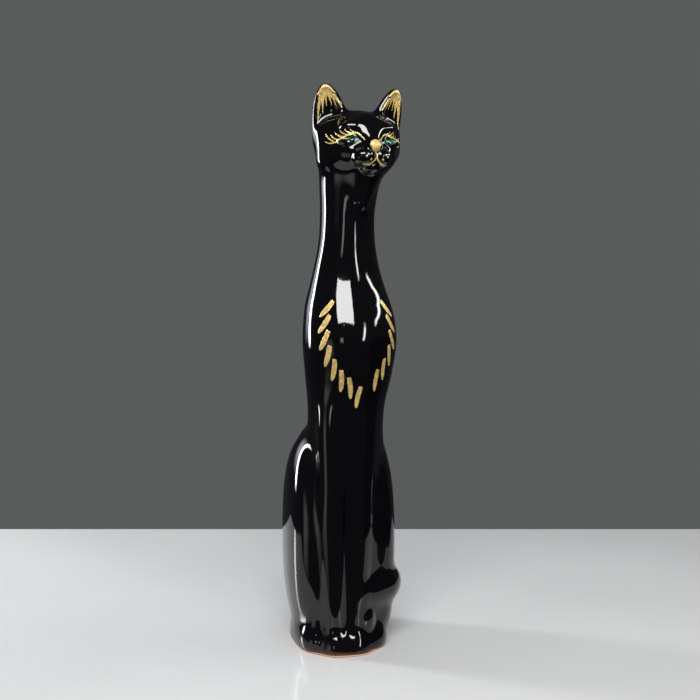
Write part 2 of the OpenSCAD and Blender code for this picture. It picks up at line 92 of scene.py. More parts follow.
# Tail: angle from the back towards the cat's left, then centre radius, height, thickness
TAIL = [
    (-10, 32, 14, 9),
    (40, 35, 20, 11.5),
    (80, 34.5, 35, 12.5),
    (105, 34, 40, 13),
    (130, 35, 41, 12.5),
    (158, 34, 40, 9),
]
HEAD_AT = (9.6, -28, 350)
HEAD_TURN = 8             # degrees towards the cat's left
LEG_X = -0.8              # middle of the front legs
EAR_ROOT = (18.5, 1, 9.0)
EAR_TIP = (26, -6, 38.5)
EAR_FACING = (0.38, -0.92, 0)
EAR_W = 13                # half width
EAR_G = 6.5               # half thickness
EAR_ROUND_BELOW = 0.6     # share of its length that an ear goes on below its root
CUP_W = 10.4              # half width and depth of the hollow in an ear
CUP_G = 4.6
CUP_FROM, CUP_TO = 0.04, 0.92
EAR_RIMS_FROM = 371       # above this height the glaze wears thin on sharp rims
# Heights within which each set of forms can matter, with room for their blends
LEGS_TOP = 200
FEET_TOP = 75
HEAD_LOW = 290
EARS_LOW = 338


# ---- the form: distances in millimetres, negative inside, on numpy arrays ----
def smooth_min(a, b, k):
    h = np.maximum(k - np.abs(a - b), 0) / k
    return np.minimum(a, b) - h * h * h * (k / 6)


def smooth_max(a, b, k):
    return -smooth_min(-a, -b, k)


def ball(p, c, r):
    """Distance to an ellipsoid with centre c and half axes r."""
    q = [((u - m) / s) ** 2 for u, m, s in zip(p, c, r)]
    n = np.sqrt(q[0] + q[1] + q[2]) + TINY
    g = np.sqrt(q[0] / r[0] ** 2 + q[1] / r[1] ** 2 + q[2] / r[2] ** 2) + TINY
    return n * (n - 1) / g


def cushion(p, c, r, power):
    """Distance to a fuller kind of ellipsoid: the higher its power, the flatter its sides."""
    q = [np.abs((u - m) / s) + 1e-6 for u, m, s in zip(p, c, r)]
    n = (q[0] ** power + q[1] ** power + q[2] ** power) ** (1 / power)
    g = [(u / n) ** (power - 1) / s for u, s in zip(q, r)]
    return (n - 1) / np.sqrt(g[0] ** 2 + g[1] ** 2 + g[2] ** 2)


def column(p, cx, cy, a, b):
    """Distance to an upright elliptical column."""
    u, v = ((p[0] - cx) / a) ** 2, ((p[1] - cy) / b) ** 2
    n = np.sqrt(u + v) + TINY
    return n * (n - 1) / (np.sqrt(u / a ** 2 + v / b ** 2) + TINY)


def bar(p, a, b):
    """Distance to a round bar that tapers from a to b, each (x, y, z, radius)."""
    ab = [b[i] - a[i] for i in range(3)]
    d = [p[i] - a[i] for i in range(3)]
    t = np.clip(sum(u * v for u, v in zip(d, ab)) / sum(v * v for v in ab), 0, 1)
    off = [u - t * v for u, v in zip(d, ab)]
    return np.sqrt(off[0] ** 2 + off[1] ** 2 + off[2] ** 2) - (a[3] + (b[3] - a[3]) * t)


def curve(rows, at):
    """Smooth curves through rows whose first column is the place along them."""
    rows = np.array(rows, float)
    t, v = rows[:, 0], rows[:, 1:]
    h = np.diff(t)[:, None]
    m = np.diff(v, axis=0) / h
    tangent = np.vstack([m[:1], (m[1:] * h[:-1] + m[:-1] * h[1:]) / (h[:-1] + h[1:]), m[-1:]])
    at = np.clip(at, t[0], t[-1])
    i = np.clip(np.searchsorted(t, at, side="right") - 1, 0, len(t) - 2)
    s = (at - t[i]) / np.diff(t)[i]
    a, b, c = 2 * s ** 3 - 3 * s ** 2 + 1, s ** 3 - 2 * s ** 2 + s, s ** 3 - s ** 2
    step = np.diff(t)[i]
    return [a * w[i] + (1 - a) * w[i + 1] + step * (b * g[i] + c * g[i + 1])
            for w, g in zip(v.T, tangent.T)]


def head_axes(p):
    """Into the head's own axes: x to its left, y to its back, z up."""
    c, s = cos(radians(HEAD_TURN)), sin(radians(HEAD_TURN))
    x, y = p[0] - HEAD_AT[0], p[1] - HEAD_AT[1]
    return x * c + y * s, y * c - x * s, p[2] - HEAD_AT[2]


def tail(p):
    """The tail, lying round the back and the cat's left side."""
    a = np.clip(np.degrees(np.arctan2(p[0], p[1])), TAIL[0][0], TAIL[-1][0])
    out, up, thick = curve(TAIL, a)
    a = np.radians(a)
    return np.sqrt((p[0] - out * np.sin(a)) ** 2 + (p[1] - out * np.cos(a)) ** 2
                   + (p[2] - up) ** 2) - thick


def haunches(p, d):
    for s in SIDES:
        thigh = cushion(p, (1.2 + s * 22, 2, 72), (17.2, 36, 67), 2.6)
        hip = ball(p, (2 + s * 19.5, 3, 118), (13.5, 25, 35))
        d = smooth_min(smooth_min(d, thigh, 9), hip, 14)
    return d


def front_legs(p, d):
    """The front legs, close together, which rise into the chest, and the flanks beside them."""
    legs = []
    for s in SIDES:
        legs.append(column(p, LEG_X + s * (6.3 + 0.02 * p[2]), -36.5, 8.5, 6.5))
        flank = smooth_max(column(p, LEG_X + s * 16.5, -26.5, 9, 9), p[2] - 110, 40)
        d = smooth_min(d, flank, 9)
    pair = smooth_max(smooth_min(*legs, 3), p[2] - 180, 40)
    softer_up = np.clip((p[2] - 50) / 90, 0, 1)
    return smooth_min(d, pair, 8 + 10 * softer_up)


def paws(p, d):
    for s, out in zip(SIDES, (21.5, 20)):
        hind_foot = ball(p, (s * out, -20, 7), (10.5, 19, 10.5))
        front_paw = ball(p, (LEG_X + s * 8.5, -33.5, 3), (8.5, 14, 14))
        d = smooth_min(smooth_min(d, hind_foot, 11), front_paw, 6)
    both_paws = cushion(p, (LEG_X, -29, -1), (19, 19.3, 17), 2.6)
    hind_toe = ball(p, (13.5, -34, 21), (6.5, 8, 10))
    under_tail = ball(p, (24.5, 0, 23), (15, 29, 23))
    d = smooth_min(smooth_min(d, both_paws, 5), hind_toe, 4)
    return smooth_min(d, under_tail, 8)


def muzzle(h, d):
    bridge = bar(h, (0, -17, 9, 9), (0, -26.5, -3, 5.5))
    d = smooth_min(d, bridge, 8)
    for s in SIDES:
        pad = ball(h, (s * 5.8, -26, -12), (7.8, 8, 6.4))
        d = smooth_min(d, pad, 3)
    nose_tip = ball(h, (0, -30.5, -5.4), (5.2, 3.6, 4))
    chin = ball(h, (0, -23.5, -18.5), (6.5, 7, 4.5))
    return smooth_min(smooth_min(d, nose_tip, 3), chin, 4)


def eyes(h, d):
    for s in SIDES:
        socket = ball(h, (s * 14.5, -31.5, -1), (9, 6.5, 4.6))
        eyeball = ball(h, (s * 14, -20.5, -1), (7.8, 4.9, 3.7))
        d = smooth_min(smooth_max(d, -socket, 5), eyeball, 3)
    return d


def bib(h, d):
    """The ruff: a cone from under the chin back to the neck, which it meets in a V."""
    ruff = bar(h, (0.5, -10, -15, 15.5), (-1.6, -13, -41, 2.5))
    return smooth_min(d, ruff, 3)


def head(h):
    """The whole head without its ears, in the head's own axes."""
    skull = ball(h, (0, 4, 1), (27.5, 30, 22.5))
    cheeks = ball(h, (0, -8, -9), (23, 21, 13))
    d = smooth_min(skull, cheeks, 12)
    for s, low in zip(SIDES, (-10, -3)):
        ear_foot = bar(h, (s * 20, -1, 6, 9.6), (s * 20, -1, low, 9.6))
        brow = ball(h, (s * 10.3, -18.6, 8.3), (8.2, 5.8, 4.7))
        d = smooth_min(smooth_min(d, ear_foot, 7), brow, 7)
    return eyes(h, muzzle(h, bib(h, d)))


def ear_frame(s):
    """An ear's root, its directions up, to the front and outwards, and its length."""
    root, tip = (np.array((s * end[0], end[1], end[2])) for end in (EAR_ROOT, EAR_TIP))
    up = tip - root
    long = np.linalg.norm(up)
    up /= long
    front = np.array((s * EAR_FACING[0], EAR_FACING[1], EAR_FACING[2]))
    front -= up * front.dot(up)
    front /= np.linalg.norm(front)
    return root, up, front, s * np.cross(up, front), long


def ear_taper(t, power=1.8):
    """An ear's width over its length, as a share of the widest."""
    low = np.sqrt(np.maximum(1 - (t / EAR_ROUND_BELOW) ** 2, 0))
    high = np.sqrt(np.maximum(1 - np.clip(t, 0, 1) ** power, 0))
    return np.where(t < 0, low, high)


def ear(h, s):
    """An ear: a flattened, pointed form with a cup hollowed out of its front."""
    root, up, front, side, long = ear_frame(s)
    q = [h[i] - root[i] for i in range(3)]
    t = sum(u * v for u, v in zip(q, up)) / long
    u = sum(a * b for a, b in zip(q, side))
    v = sum(a * b for a, b in zip(q, front))
    tc = np.clip(t, -EAR_ROUND_BELOW, 1)
    taper = ear_taper(tc)
    w = EAR_W * taper * (1 - 0.1 * tc) + 0.3
    g = EAR_G * taper * (1 - 0.25 * tc) + 0.3
    d = column((u, v), 0, 0, w, g)
    d = smooth_max(d, (t - 1) * long, 1)
    d = smooth_max(d, (-EAR_ROUND_BELOW - t) * long, 1)
    inner = ear_taper(np.clip(t / CUP_TO, 0, 1))
    cup = column((u, v), 0, g * 0.95, CUP_W * inner * (1 - 0.1 * tc) + 0.1, CUP_G * inner + 0.1)
    cup = smooth_max(cup, (CUP_FROM - t) * long, 6)
    cup = smooth_max(cup, (t - CUP_TO) * long, 1)
    return smooth_max(d, -cup, 2)


def outside(p):
    """Distance to the whole outside. p[2] may be a row of heights, which the grid uses."""
    z = p[2]
    low, high = float(np.min(z)), float(np.max(z))
    d = smooth_max(column(p, *curve(TRUNK, z)), z - TRUNK_TOP, 6)
    if low < LEGS_TOP:
        d = front_legs(p, haunches(p, d))
    if low < FEET_TOP:
        d = smooth_min(paws(p, d), tail(p), 9)
    if high > HEAD_LOW:
        h = head_axes(p)
        d = smooth_min(d, head(h), 12)
        if high > EARS_LOW:
            for s in SIDES:
                d = smooth_min(d, ear(h, s), 8)
    return d


# ---- meshing ----
GRID_X = (-48, 54)
GRID_Y = (-62, 54)
BAND = 3                  # distances are kept to this many millimetres either side of a surface
NECK_BACK = 14            # above the haunches nothing of the cat lies behind this y
SLAB = 12                 # heights worked out at a time


def grid_mesh(step, tall_step, level):
    """Quads of the surface where outside() is level, on a grid that is coarser up the plain body."""
    bottom, feet_top, face_low, top = -3, 62, 296, 393
    face_step = step * 0.85
    x = np.arange(*GRID_X, step, dtype=np.float32)
    y = np.arange(*GRID_Y, step, dtype=np.float32)
    z = np.concatenate([np.arange(bottom, feet_top, step),
                        np.arange(feet_top, face_low, tall_step),
                        np.arange(face_low, top, face_step)]).astype(np.float32)
    values = np.full((x.size, y.size, z.size), BAND, np.float32)
    for k in range(0, z.size, SLAB):
        heights = z[None, None, k:k + SLAB]
        back = y.size if heights.min() < LEGS_TOP else int(np.searchsorted(y, NECK_BACK))
        values[:, :back, k:k + SLAB] = outside((x[:, None, None], y[None, :back, None], heights))
    points, quads = quads_of(values - level)
    points = np.stack([x[0] + points[:, 0] * step, y[0] + points[:, 1] * step,
                       np.interp(points[:, 2], np.arange(z.size), z)], 1)
    return points, quads


def quads_of(values):
    """Quads, facing outwards, where a grid of distances is nought. Its points count in grid steps."""
    grid = openvdb.FloatGrid(background=float(BAND))
    grid.copyFromArray(np.clip(values, -BAND, BAND).astype(np.float32))
    points, quads = grid.convertToQuads(isovalue=0.0)
    return points, quads[:, ::-1]


def relax(points, quads, rounds):
    """Evens out the quads without shrinking the form: each step in is undone by one out."""
    step_in, step_out = 0.5, -0.52
    edges = np.concatenate([quads[:, [i, (i + 1) % 4]] for i in range(4)])
    edges = np.concatenate([edges, edges[:, ::-1]])
    count = np.bincount(edges[:, 0], minlength=len(points))[:, None]
    for share in (step_in, step_out) * rounds:
        total = [np.bincount(edges[:, 0], weights=points[edges[:, 1], axis], minlength=len(points))
                 for axis in range(3)]
        points = points + share * (np.stack(total, 1) / count - points)
    return points


def either_side(points, reach):
    """The distance just beyond and just short of points, along each axis in turn."""
    for axis in range(3):
        off = np.zeros(3)
        off[axis] = reach
        yield outside((points + off).T), outside((points - off).T)


def slope(points, reach=0.25):
    """The form's unit outward normals at points, and how fast its distance grows there."""
    g = np.stack([beyond - short for beyond, short in either_side(points, reach)], 1)
    steep = np.linalg.norm(g, axis=1)[:, None]
    return g / steep, steep / (2 * reach)


def settle(points, level, rounds=3, longest=0.5):
    """Moves points onto the surface where outside() is level."""
    for _ in range(rounds):
        normal, steep = slope(points)
        gap = (outside(points.T) - level)[:, None] / steep
        points = points - normal * np.clip(gap, -longest, longest)
    return points


def bend(points, reach=0.8):
    """How sharply the form is rounded at points: one over its radius, in millimetres."""
    total = -6 * outside(points.T)
    for beyond, short in either_side(points, reach):
        total = total + beyond + short
    return total / reach ** 2


def to_metres(points):
    return np.asarray(points, float) * (SCALE / 1000)


def new_piece(name, mesh, stands_for, slot, material):
    """Puts a mesh into the frame as one visible piece."""
    mesh.shade_smooth()
    piece = bpy.data.objects.new(name, mesh)
    bpy.context.scene.collection.objects.link(piece)
    mesh.materials.append(material)
    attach(piece, "root")
    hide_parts(*stands_for)


def open_at(bm, height):
    """Cuts off everything below height."""
    bmesh.ops.bisect_plane(bm, geom=bm.verts[:] + bm.edges[:] + bm.faces[:], dist=1e-6,
                           plane_co=(0, 0, height), plane_no=(0, 0, 1), clear_inner=True)


def skin(step, tall_step, level, inward):
    """One skin of the casting, as a mesh, and its points in millimetres."""
    points, quads = grid_mesh(step, tall_step, level)
    points = settle(relax(points, quads, 4), level)
    mesh = bpy.data.meshes.new("skin")
    mesh.from_pydata(to_metres(points).tolist(), [], (quads[:, ::-1] if inward else quads).tolist())
    return mesh, points


def worn_rims(points):
    """How thin the glaze lies at points: from nought to one on the sharp rims of the ears."""
    sharp_from, sharp_range, fade_height = 0.5, 0.7, 4
    sharp = np.clip((bend(points) - sharp_from) / sharp_range, 0, 1)
    return sharp * np.clip((points[:, 2] - EAR_RIMS_FROM) / fade_height, 0, 1)


def cast_body(material):
    """The hollow casting: a fine outside and a plain inside, joined by the flat of its foot."""
    outer, points = skin(step=1.0, tall_step=1.9, level=0, inward=False)
    thin = outer.attributes.new("thin", "FLOAT", "POINT")
    thin.data.foreach_set("value", worn_rims(points).astype(np.float32))
    inner, _ = skin(step=3.0, tall_step=5.0, level=-WALL, inward=True)
    height = float(to_metres(GLAZE_LINE))
    both = bmesh.new()
    both.from_mesh(outer)
    open_at(both, height)
    inside = bmesh.new()
    inside.from_mesh(inner)
    open_at(inside, height)
    inside.to_mesh(inner)
    inside.free()
    both.from_mesh(inner)
    bmesh.ops.bridge_loops(both, edges=[e for e in both.edges if e.is_boundary])
    bmesh.ops.recalc_face_normals(both, faces=both.faces[:])
    mesh = bpy.data.meshes.new("cat_casting")
    both.to_mesh(mesh)
    both.free()
    new_piece("cat_casting", mesh, ["glazed_casting"], "black_glaze", material)


# ---- finding places on the glaze ----
FAR_OUT = 60              # where rays at the head and trunk start, in millimetres from the middle
EAR_OUT = 14              # the same in front of an ear


def meet(start, way, steps=70, longest=4, share=0.6):
    """Points and outward normals where rays from start along way meet the glaze."""
    points = np.array(start, float)
    way = way / np.linalg.norm(way, axis=-1, keepdims=True)
    for _ in range(steps):
        points = points + way * (np.clip(outside(points.T), -longest, longest) * share)[:, None]
    return points, slope(points)[0]


def head_out(x, y, z):
    """From the head's own axes to the cat's."""
    c, s = cos(radians(HEAD_TURN)), sin(radians(HEAD_TURN))
    return np.stack([HEAD_AT[0] + x * c - y * s, HEAD_AT[1] + x * s + y * c, HEAD_AT[2] + z], -1)


def on_face(angle, up):
    """Round the head: degrees from the nose towards the cat's left, and height over its centre."""
    a = np.radians(angle)
    far = head_out(FAR_OUT * np.sin(a), -FAR_OUT * np.cos(a), up)
    return meet(far, head_out(np.zeros_like(a), np.zeros_like(a), up) - far)


def on_muzzle(x, up):
    """Straight onto the face from in front, in the head's own x and height."""
    far = head_out(x, np.full_like(x, -FAR_OUT), up)
    return meet(far, head_out(x, np.zeros_like(x), up) - far)


def on_chest(angle, up):
    """Round the trunk: degrees from the front towards the cat's left, and height."""
    a = np.radians(angle)
    mid_x, mid_y = curve(TRUNK, up)[:2]
    way = np.stack([-np.sin(a), np.cos(a), np.zeros_like(a)], -1)
    return meet(np.stack([mid_x, mid_y, up], -1) - FAR_OUT * way, way)


def on_ear(s):
    """Into an ear's cup from in front: millimetres outwards and a share of the ear's length."""
    root, up, front, side, long = ear_frame(s)

    def place(x, t):
        near = root + side * x[:, None] + up * (t * long)[:, None]
        far = near + front * EAR_OUT
        return meet(head_out(*far.T), head_out(*near.T) - head_out(*far.T))
    return place


# ---- paint ----
def dab(x, y, *stroke):
    """Millimetres inside a brush line through (x, y, half width) points, negative outside it."""
    nowhere = -99.0
    best = np.full(np.shape(x), nowhere)
    for a, b in zip(stroke[:-1], stroke[1:]):
        dx, dy = b[0] - a[0], b[1] - a[1]
        t = np.clip(((x - a[0]) * dx + (y - a[1]) * dy) / (dx * dx + dy * dy + TINY), 0, 1)
        gap = np.hypot(x - a[0] - t * dx, y - a[1] - t * dy)
        best = np.maximum(best, a[2] + (b[2] - a[2]) * t - gap)
    return best


def smooth_line(points, count):
    """More points along a brush line, on a smooth curve through the given ones."""
    rows = np.column_stack([np.arange(len(points)), np.array(points, float)])
    at = np.linspace(0, len(points) - 1, count)
    return list(zip(*curve(rows, at)))


def ragged(x, y, size, seed):
    """A fixed small wobble, for edges drawn by hand."""
    broad = np.sin(2.1 * x + seed) * np.cos(1.7 * y - 2 * seed)
    fine = np.sin(4.7 * x - 3.1 * y + 3 * seed)
    return size * (broad + 0.6 * fine)


def side_name(s):
    return "right" if s < 0 else "left"


def sheet_of(place, u, v, height, brush):
    """One film over a grid of u and v, as the rows that film() takes.

    place gives points and normals on the glaze, height the paint's thickness (negative
    outside it) and brush its coordinates along and across the strokes."""
    lowest, dry = -0.3, -0.08
    grid_u, grid_v = np.meshgrid(u, v, indexing="ij")
    thick = height(grid_u, grid_v)
    points, normals = place(grid_u.ravel(), grid_v.ravel())
    along, across = brush(grid_u, grid_v)
    return (points.reshape(grid_u.shape + (3,)), normals.reshape(grid_u.shape + (3,)),
            np.clip(thick, lowest, None), along, across, thick > dry)


def rounded(inside, top=PAINT_H, rise=0.45):
    """The height of paint over its inside distance: a rounded edge, then flat."""
    share = np.clip(inside / rise, 0, 1)
    return np.where(inside < 0, inside, top * np.sqrt(1 - (1 - share) ** 2))


def film_faces(wet, first):
    """Quads of one closed film: its top, its underside and the rim between them.

    The top's points are numbered from first on, and the underside's follow them."""
    index = np.arange(wet.size).reshape(wet.shape) + first
    keep = wet[:-1, :-1] | wet[1:, :-1] | wet[1:, 1:] | wet[:-1, 1:]
    corners = [index[:-1, :-1], index[1:, :-1], index[1:, 1:], index[:-1, 1:]]
    faces = [np.stack([c[keep] for c in corners], 1),
             np.stack([c[keep] + wet.size for c in reversed(corners)], 1)]
    padded = np.pad(keep, 1)
    beside = [padded[1:-1, :-2], padded[2:, 1:-1], padded[1:-1, 2:], padded[:-2, 1:-1]]
    for side, near in enumerate(beside):
        rim = keep & ~near
        a, b = corners[side][rim], corners[(side + 1) % 4][rim]
        faces.append(np.stack([a, a + wet.size, b + wet.size, b], 1))
    return faces


def film(name, sheets, stands_for, slot, material):
    """A piece made of closed thin films of paint."""
    verts, faces, brush = [], [], []
    for points, normals, thick, along, across, wet in sheets:
        faces += film_faces(wet, sum(len(part) for part in verts))
        top = points + normals * thick[..., None]
        low = points - normals * PAINT_SINK
        verts += [top.reshape(-1, 3), low.reshape(-1, 3)]
        brush += [np.stack([along.ravel(), across.ravel()], 1)] * 2
    verts, faces, brush = np.concatenate(verts), np.concatenate(faces), np.concatenate(brush)
    used, faces = np.unique(faces, return_inverse=True)
    faces = faces.reshape(-1, 4)
    mesh = bpy.data.meshes.new(name)
    mesh.from_pydata(to_metres(verts[used]).tolist(), [], faces.tolist())
    layer = mesh.uv_layers.new(name="brush")
    layer.data.foreach_set("uv", brush[used][faces.ravel()].astype(np.float32).ravel())
    bm = bmesh.new()
    bm.from_mesh(mesh)
    bmesh.ops.recalc_face_normals(bm, faces=bm.faces[:])
    bm.to_mesh(mesh)
    bm.free()
    new_piece(name, mesh, [stands_for], slot, material)


MM_PER_DEGREE = 0.47      # round the face, where the eyes are
# Lid line: degrees from the nose, height, half width
LID = [(11.7, -0.9, 0.35), (21.4, 3.5, 0.6), (32.9, 2.3, 0.62), (43.6, -0.7, 0.58), (54, -2, 0.52),
       (63.6, -2.2, 0.42), (71.5, -0.6, 0.12)]
# Lashes: where each starts on the lid line and where it ends, as degrees and height
LASHES = [((55.2, -1.8), (70.6, 4.3)), ((46.8, -1.3), (62.4, 3.6)), ((38.9, 0.6), (56.5, 5)),
          ((34, 2), (48, 5.9)), ((28.5, 3), (39.5, 6.1)), ((23.5, 3.5), (31.5, 6))]


def lid_line(s, gold):
    """The gold line over one eye, and its lashes."""
    lid = smooth_line([(a * MM_PER_DEGREE, z, w) for a, z, w in LID], 30)
    root_half, mid_half, tip_half = 0.35, 0.4, 0.12

    def height(a, z):
        x = s * a * MM_PER_DEGREE
        inside = dab(x, z, *lid)
        for (a0, z0), (a1, z1) in LASHES:
            lash = [(a0 * MM_PER_DEGREE, z0, root_half),
                    ((a0 + 2 * a1) / 3 * MM_PER_DEGREE, z0 + (z1 - z0) * 0.5, mid_half),
                    (a1 * MM_PER_DEGREE, z1, tip_half)]
            inside = np.maximum(inside, dab(x, z, *smooth_line(lash, 7)))
        return rounded(inside + ragged(x, z, 0.05, 1))
    angles, heights = s * np.arange(9, 75, 0.45), np.arange(-4.5, 7.6, 0.2)
    sheet = sheet_of(on_face, angles, heights, height,
                     lambda a, z: (s * a * MM_PER_DEGREE / BRUSH_UNIT, z / BRUSH_UNIT))
    name = "lid_line_" + side_name(s)
    film(name, [sheet], name, "gold_lustre", gold)


EYE_AT = (27, -1.1)       # degrees from the nose, height
IRIS = (9.2, 2.1)         # half width in degrees, half height in millimetres
PUPIL_AT = (-0.6, 0.1)    # from the middle of the eye, as degrees and height
GLINT_AT = {-1: (-5.4, -1.3), 1: (1.2, -0.6)}


def eye(s, iris, pupil, glint):
    """Iris, pupil and glint of one eye, each laid over the one before."""
    mid = s * EYE_AT[0]

    def almond(a, z, wide, high):
        x = np.clip(np.abs(a - mid) / wide, 0, 2)
        return high * (1 - x ** 2.2) - np.abs(z - EYE_AT[1])

    def across(a, z):
        return (a - mid) / IRIS[0], (z - EYE_AT[1]) / IRIS[1]

    def dot(at, wide, high, top):
        def height(a, z):
            x, y = (a - mid - at[0]) * MM_PER_DEGREE / wide, (z - EYE_AT[1] - at[1]) / high
            return rounded((1 - np.hypot(x, y)) * min(wide, high), top)
        return height

    angles, heights = np.arange(-13, 13.1, 0.5), np.arange(-3.6, 3.7, 0.2)
    disc = sheet_of(on_face, mid + angles, EYE_AT[1] + heights,
                    lambda a, z: rounded(almond(a, z, *IRIS)), across)
    spot, rise = np.arange(-6, 6.1, 0.35), np.arange(-2.6, 2.7, 0.15)
    black = sheet_of(on_face, mid + PUPIL_AT[0] + spot, EYE_AT[1] + rise,
                     dot(PUPIL_AT, wide=1.5, high=1.9, top=0.2), across)
    spark = GLINT_AT[s]
    white = sheet_of(on_face, mid + spark[0] + spot / 2, EYE_AT[1] + spark[1] + rise / 2,
                     dot(spark, wide=0.75, high=0.5, top=0.25), across)
    for part, sheet, slot, material in (("iris_", disc, "green_enamel", iris),
                                        ("pupil_", black, "dark_enamel", pupil),
                                        ("glint_", white, "white_enamel", glint)):
        name = part + side_name(s)
        film(name, [sheet], name, slot, material)


NOSE = [(0.3, -5, 3.9), (0.3, -6.4, 3.0), (0.3, -9.3, 0.6)]      # x, height, half width


def nose(gold):
    def height(x, z):
        return rounded(dab(x, z, *NOSE) + ragged(x, z, 0.07, 2), top=PAINT_H * 1.6, rise=1.4)
    sheet = sheet_of(on_muzzle, np.arange(-5.5, 6.2, 0.2), np.arange(-10.5, -0.6, 0.2), height,
                     lambda x, z: (z / BRUSH_UNIT, x / BRUSH_UNIT))
    film("nose_gilding", [sheet], "nose_gilding", "gold_lustre", gold)


MOUTH_X = 1.2
# Brush lines of the mouth, from its middle: x, height, half width
MOUTH = [
    [(0, -12.7, 0.5), (-1.2, -15, 0.5), (-4, -17.1, 0.55), (-6.4, -17.7, 0.5), (-9, -17.2, 0.3)],
    [(0, -12.7, 0.5), (1.2, -15, 0.5), (4, -17.2, 0.55), (8, -17.7, 0.5), (10, -16.8, 0.3)],
    [(0.3 - MOUTH_X, -9.2, 0.4), (0.2, -11, 0.4), (0, -12.9, 0.5)],
]


def mouth(gold):
    def height(x, z):
        x = x - MOUTH_X
        lines = [dab(x, z, *smooth_line(line, 16)) for line in MOUTH]
        return rounded(np.maximum.reduce(lines) + ragged(x, z, 0.04, 4))
    sheet = sheet_of(on_muzzle, np.arange(-9.5, 12.6, 0.2), np.arange(-19.4, -8.4, 0.2), height,
                     lambda x, z: (x / BRUSH_UNIT, z / BRUSH_UNIT))
    film("mouth_line", [sheet], "mouth_line", "gold_lustre", gold)


DOTS = [(7.6, -12.5), (4, -14.4), (6.3, -11.2)]      # outwards from the mouth's middle, height
DOT_R = 0.72


def whisker_dots(cream):
    around = np.arange(-1.2, 1.3, 0.12)
    sheets = []
    for out, up in DOTS:
        for s in SIDES:
            x = MOUTH_X + s * out
            sheets.append(sheet_of(on_muzzle, x + around, up + around,
                                   lambda a, b: rounded(DOT_R - np.hypot(a - x, b - up)),
                                   lambda a, b: (a, b)))
    film("whisker_dots", sheets, "whisker_dots", "cream_enamel", cream)


# Strokes drawn down from the gilded tip of an ear: x at the lower end, then the shares of the
# ear's length where the stroke ends and begins
EAR_FINGERS = [(8.4, 0.22, 0.75), (4.4, 0.36, 0.8), (1.0, 0.53, 0.84), (-2.5, 0.52, 0.84),
               (-5.5, 0.5, 0.8), (-9.4, 0.43, 0.72)]


TIP_GILT_FROM = 0.83      # share of the ear's length above which it is gold right across


def ear_gilding(s, gold):
    long = ear_frame(s)[4]

    def finger(end, low, top):
        start = end * (1.05 - 0.75 * top)
        bow = 0.06 * end
        return [(end, low * long, 0.1), ((end + start) / 2 + bow, (low + top) / 2 * long, 0.65),
                (start, top * long, 1.3)]

    def height(x, t):
        y = t * long
        inside = (t - TIP_GILT_FROM + 0.12 * (x / 9) ** 2) * long
        for row in EAR_FINGERS:
            inside = np.maximum(inside, dab(x, y, *smooth_line(finger(*row), 9)))
        bare_rim = 0.9
        rim = EAR_W * ear_taper(t) * (1 - 0.1 * t)
        return rounded(np.minimum(inside + ragged(x, y, 0.12, 5), rim - bare_rim - np.abs(x)))
    sheet = sheet_of(on_ear(s), np.arange(-11.5, 11.6, 0.28), np.arange(0.16, 0.985, 0.009), height,
                     lambda x, t: (t * long / BRUSH_UNIT, x / BRUSH_UNIT))
    name = "ear_gilding_" + side_name(s)
    film(name, [sheet], name, "gold_lustre", gold)


# Garland: a ring of leaf strokes round the chest, like a wreath hung from the neck. It is set
# out as degrees round the trunk and heights; theta runs down each side, from above its middle.
RING = dict(centre=(4, 225), half_angle=42, half_height=36, first=-30, last=80, between=16.5,
            lean=45, less=0.55)
CHEST_MM_PER_DEGREE = 0.56
LEAF = dict(long=15.5, half=1.9)
LEFT_LEAVES = 6
POINT = dict(angle=3, below=4, lean=-10)      # the lone leaf at the bottom, from the ring's


def leaf(angle, up, lean, number):
    """One leaf stroke, hung from its rounded head.

    lean is its slant from straight down, and number varies its edge."""
    c, s = sin(radians(lean)), -cos(radians(lean))
    half = LEAF["long"] / 2

    def place(u, v):
        along = u + half
        return on_chest(angle + (along * c - v * s) / CHEST_MM_PER_DEGREE, up + along * s + v * c)

    def height(u, v):
        t = np.clip((u + half) / LEAF["long"], -0.2, 1.2)
        wide = LEAF["half"] * np.sqrt(np.clip(1 - np.abs(2 * t - 0.85) ** 2.6 / 1.3, 0, 1))
        bow = 0.5 * np.sin(pi * np.clip(t, 0, 1)) * (1 if number % 2 else -1)
        ends = np.minimum(u + half, half - u)
        inside = np.minimum(wide - np.abs(v - bow), ends) + ragged(u, v, 0.13, number)
        ridge = np.where(inside > 0, 0.07 * np.exp(-((inside - 0.55) / 0.4) ** 2), 0)
        return rounded(inside, PAINT_H * 0.75, 0.4) + ridge
    return sheet_of(place, np.arange(-8.8, 8.9, 0.22), np.arange(-3.4, 3.5, 0.22), height,
                    lambda u, v: (u / BRUSH_UNIT + number * 1.7, v / BRUSH_UNIT + number * 0.9))


def garland(gold):
    mid, up = RING["centre"]
    sheets = {s: [] for s in SIDES}
    number = 0
    for theta in np.arange(RING["first"], RING["last"], RING["between"]):
        for s in SIDES:
            angle = mid + s * RING["half_angle"] * cos(radians(theta))
            height = up - RING["half_height"] * sin(radians(theta))
            lean = RING["lean"] - RING["less"] * (theta - RING["first"])
            number += 1
            if s < 0 or number <= LEFT_LEAVES * 2:
                sheets[s].append(leaf(angle, height, s * lean, number))
    for s in SIDES:
        name = "garland_" + side_name(s)
        film(name, sheets[s], name, "gold_lustre", gold)
    lowest = up - RING["half_height"] - POINT["below"]
    tip = leaf(mid + POINT["angle"], lowest, POINT["lean"], 0)
    film("garland_point", [tip], "garland_point", "gold_lustre", gold)


